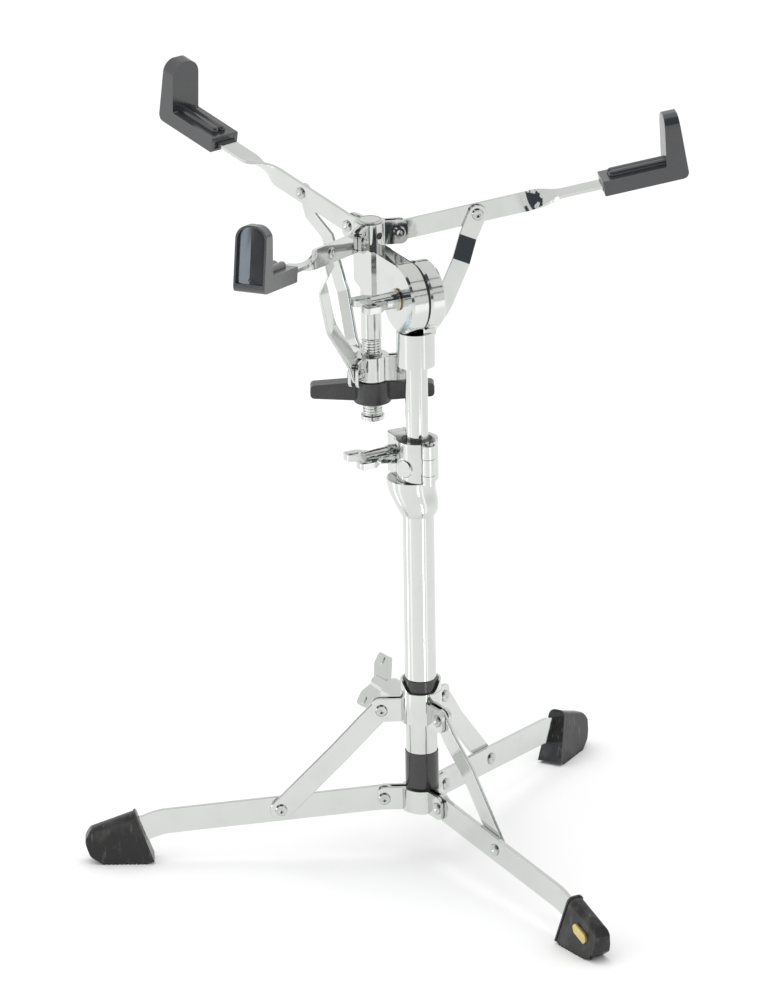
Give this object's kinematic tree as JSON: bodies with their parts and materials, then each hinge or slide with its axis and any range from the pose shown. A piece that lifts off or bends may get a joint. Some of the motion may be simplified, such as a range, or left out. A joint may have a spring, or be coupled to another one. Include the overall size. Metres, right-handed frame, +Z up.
{
  "type": "snare drum stand",
  "caption": "Folding snare drum stand with flat strip tripod legs in rubber shoes, telescoping clamped tube, tilter and screw-closed basket arms with rubber grips.",
  "frame": {"origin": "on the floor under the base tube's axis", "axes": "+Z up along the tubes, +X to the right in the picture, +Y away from the camera; the left leg points along -X"},
  "size_m": [0.4304, 0.4376, 0.5235],
  "materials": {
    "chrome_steel": "bright chrome plate on steel tube and strip",
    "chrome_casting": "bright chrome plate on die castings",
    "chrome_rivet": "bright chrome plate",
    "chrome_bolt": "bright chrome plate",
    "screw_steel": "plain steel",
    "insert_brass": "plain brass",
    "foot_rubber": "matte moulded rubber, dusty",
    "grip_rubber": "semi-gloss moulded rubber",
    "black_nylon": "satin",
    "black_sleeve": "gloss",
    "nut_plastic": "satin moulded plastic"
  },
  "bodies": {
    "base": {"base_tube": "chrome_steel", "leg_collar_segments": "chrome_steel", "leg_pivot_rivets": "chrome_rivet", "stop_sleeve": "black_sleeve", "height_receiver": "chrome_casting", "clamp_hinge_pin": "chrome_rivet"},
    "clamp_jaw": {"clamp_jaw": "chrome_casting"},
    "height_bolt": {"height_wing_bolt": "chrome_bolt"},
    "swivel": {"height_bushing": "black_nylon"},
    "brace_collar": {"brace_collar": "chrome_steel", "brace_collar_bushing": "black_nylon", "brace_pivot_rivets": "chrome_rivet"},
    "leg_lock_bolt": {"leg_lock_wing_bolt": "chrome_bolt"},
    "left_leg": {"left_leg": "chrome_steel", "left_foot": "foot_rubber", "left_leg_rivet_tail": "chrome_rivet"},
    "front_leg": {"front_leg": "chrome_steel", "front_foot": "foot_rubber", "front_leg_rivet_tail": "chrome_rivet"},
    "rear_leg": {"rear_leg": "chrome_steel", "rear_foot": "foot_rubber", "rear_leg_rivet_tail": "chrome_rivet"},
    "left_brace": {"left_brace": "chrome_steel", "left_brace_rivet_head": "chrome_rivet"},
    "front_brace": {"front_brace": "chrome_steel", "front_brace_rivet_head": "chrome_rivet"},
    "rear_brace": {"rear_brace": "chrome_steel", "rear_brace_rivet_head": "chrome_rivet"},
    "mast": {"upper_tube": "chrome_steel", "tilter_base": "chrome_casting", "friction_disc": "black_nylon"},
    "tilt_bolt": {"tilt_wing_bolt": "chrome_bolt"},
    "basket": {"tilter_arm": "chrome_casting", "basket_post": "chrome_steel", "basket_hub": "chrome_steel", "hub_cap": "chrome_steel", "hub_set_screw": "screw_steel", "arm_pivot_rivets": "chrome_rivet", "post_retainer": "chrome_steel"},
    "carriage": {"carriage": "chrome_steel", "strut_pivot_pins": "chrome_rivet"},
    "nut": {"basket_nut": "nut_plastic", "nut_insert": "insert_brass"},
    "right_arm": {"right_arm": "chrome_steel", "right_grip": "grip_rubber", "right_arm_rivet_tail": "chrome_rivet"},
    "rear_arm": {"rear_arm": "chrome_steel", "rear_grip": "grip_rubber", "rear_arm_rivet_tail": "chrome_rivet"},
    "front_arm": {"front_arm": "chrome_steel", "front_grip": "grip_rubber", "front_arm_rivet_tail": "chrome_rivet"},
    "right_strut": {"right_strut": "chrome_steel", "right_strut_rivet_head": "chrome_rivet"},
    "rear_strut": {"rear_strut": "chrome_steel", "rear_strut_rivet_head": "chrome_rivet"},
    "front_strut": {"front_strut": "chrome_steel", "front_strut_rivet_head": "chrome_rivet"}
  },
  "joints": [
    {"name": "left_leg_fold", "type": "hinge", "parent": "base", "child": "left_leg", "pos_m": [-0.0267, 0, 0.0441], "axis": [0, 1, 0], "range_deg": [0, 85]},
    {"name": "front_leg_fold", "type": "hinge", "parent": "base", "child": "front_leg", "pos_m": [0.01335, -0.02312, 0.0441], "axis": [-0.866, -0.5, 0], "range_deg": [0, 85]},
    {"name": "rear_leg_fold", "type": "hinge", "parent": "base", "child": "rear_leg", "pos_m": [0.01335, 0.02312, 0.0441], "axis": [0.866, -0.5, 0], "range_deg": [0, 85]},
    {"name": "brace_collar_slide", "type": "slide", "parent": "base", "child": "brace_collar", "axis": [0, 0, 1], "range_m": [0, 0.10731]},
    {"name": "left_brace_swing", "type": "hinge", "parent": "brace_collar", "child": "left_brace", "pos_m": [-0.0279, 0, 0.1103], "axis": [0, 1, 0], "range_deg": [-37.96, 0]},
    {"name": "front_brace_swing", "type": "hinge", "parent": "brace_collar", "child": "front_brace", "pos_m": [0.01395, -0.02416, 0.1103], "axis": [-0.866, -0.5, 0], "range_deg": [-37.96, 0]},
    {"name": "rear_brace_swing", "type": "hinge", "parent": "brace_collar", "child": "rear_brace", "pos_m": [0.01395, 0.02416, 0.1103], "axis": [0.866, -0.5, 0], "range_deg": [-37.96, 0]},
    {"name": "leg_lock_bolt_turn", "type": "hinge", "parent": "brace_collar", "child": "leg_lock_bolt", "pos_m": [-0.02, 0.03464, 0.1103], "axis": [-0.5, 0.866, 0], "continuous": true},
    {"name": "clamp_jaw_open", "type": "hinge", "parent": "base", "child": "clamp_jaw", "pos_m": [0.00723, -0.01483, 0.2965], "axis": [0, 0, 1], "range_deg": [0, 2]},
    {"name": "height_bolt_turn", "type": "hinge", "parent": "clamp_jaw", "child": "height_bolt", "pos_m": [-0.01868, 0.01092, 0.296], "axis": [-0.8988, -0.4384, 0], "continuous": true},
    {"name": "mast_swivel", "type": "hinge", "parent": "base", "child": "swivel", "pos_m": [0, 0, 0.29], "axis": [0, 0, 1], "range_deg": [-150, 40]},
    {"name": "mast_height", "type": "slide", "parent": "swivel", "child": "mast", "axis": [0, 0, 1], "range_m": [-0.04, 0.11]},
    {"name": "tilt_bolt_turn", "type": "hinge", "parent": "mast", "child": "tilt_bolt", "pos_m": [-0.01258, -0.00614, 0.416], "axis": [-0.8988, -0.4384, 0], "continuous": true},
    {"name": "basket_tilt", "type": "hinge", "parent": "mast", "child": "basket", "pos_m": [0, 0, 0.416], "axis": [-0.8988, -0.4384, 0], "range_deg": [-60, 8]},
    {"name": "carriage_lift", "type": "slide", "parent": "basket", "child": "carriage", "axis": [0, 0, 1], "range_m": [0, 0.028]},
    {"name": "basket_nut_turn", "type": "hinge", "parent": "carriage", "child": "nut", "pos_m": [-0.02999, 0.04323, 0.332], "axis": [0, 0, 1], "range_deg": [0, 5060]},
    {"name": "right_arm_swing", "type": "hinge", "parent": "basket", "child": "right_arm", "pos_m": [-0.00996, 0.04587, 0.4484], "axis": [0.1305, -0.9914, 0], "range_deg": [0, 47.65]},
    {"name": "rear_arm_swing", "type": "hinge", "parent": "basket", "child": "rear_arm", "pos_m": [-0.04228, 0.05926, 0.4484], "axis": [0.7934, 0.6088, 0], "range_deg": [0, 47.65]},
    {"name": "front_arm_swing", "type": "hinge", "parent": "basket", "child": "front_arm", "pos_m": [-0.03772, 0.02457, 0.4484], "axis": [-0.9239, 0.3827, 0], "range_deg": [0, 47.65]},
    {"name": "right_strut_swing", "type": "hinge", "parent": "carriage", "child": "right_strut", "pos_m": [-0.01016, 0.04584, 0.35], "axis": [0.1305, -0.9914, 0], "range_deg": [0, 12.94]},
    {"name": "rear_strut_swing", "type": "hinge", "parent": "carriage", "child": "rear_strut", "pos_m": [-0.04216, 0.0591, 0.35], "axis": [0.7934, 0.6088, 0], "range_deg": [0, 12.94]},
    {"name": "front_strut_swing", "type": "hinge", "parent": "carriage", "child": "front_strut", "pos_m": [-0.03764, 0.02475, 0.35], "axis": [-0.9239, 0.3827, 0], "range_deg": [0, 12.94]}
  ],
  "couplings": [
    {"joint": "front_leg_fold", "follows": "left_leg_fold", "ratio": 1},
    {"joint": "rear_leg_fold", "follows": "left_leg_fold", "ratio": 1},
    {"joint": "brace_collar_slide", "follows": "left_leg_fold", "m_per_rad": 0.071998},
    {"joint": "left_brace_swing", "follows": "left_leg_fold", "ratio": -0.44067},
    {"joint": "front_brace_swing", "follows": "left_leg_fold", "ratio": -0.44067},
    {"joint": "rear_brace_swing", "follows": "left_leg_fold", "ratio": -0.44067},
    {"joint": "basket_nut_turn", "follows": "carriage_lift", "rad_per_m": 3141.6},
    {"joint": "right_arm_swing", "follows": "carriage_lift", "rad_per_m": 29.391},
    {"joint": "rear_arm_swing", "follows": "carriage_lift", "rad_per_m": 29.391},
    {"joint": "front_arm_swing", "follows": "carriage_lift", "rad_per_m": 29.391},
    {"joint": "right_strut_swing", "follows": "carriage_lift", "rad_per_m": 7.7572},
    {"joint": "rear_strut_swing", "follows": "carriage_lift", "rad_per_m": 7.7572},
    {"joint": "front_strut_swing", "follows": "carriage_lift", "rad_per_m": 7.7572}
  ]
}
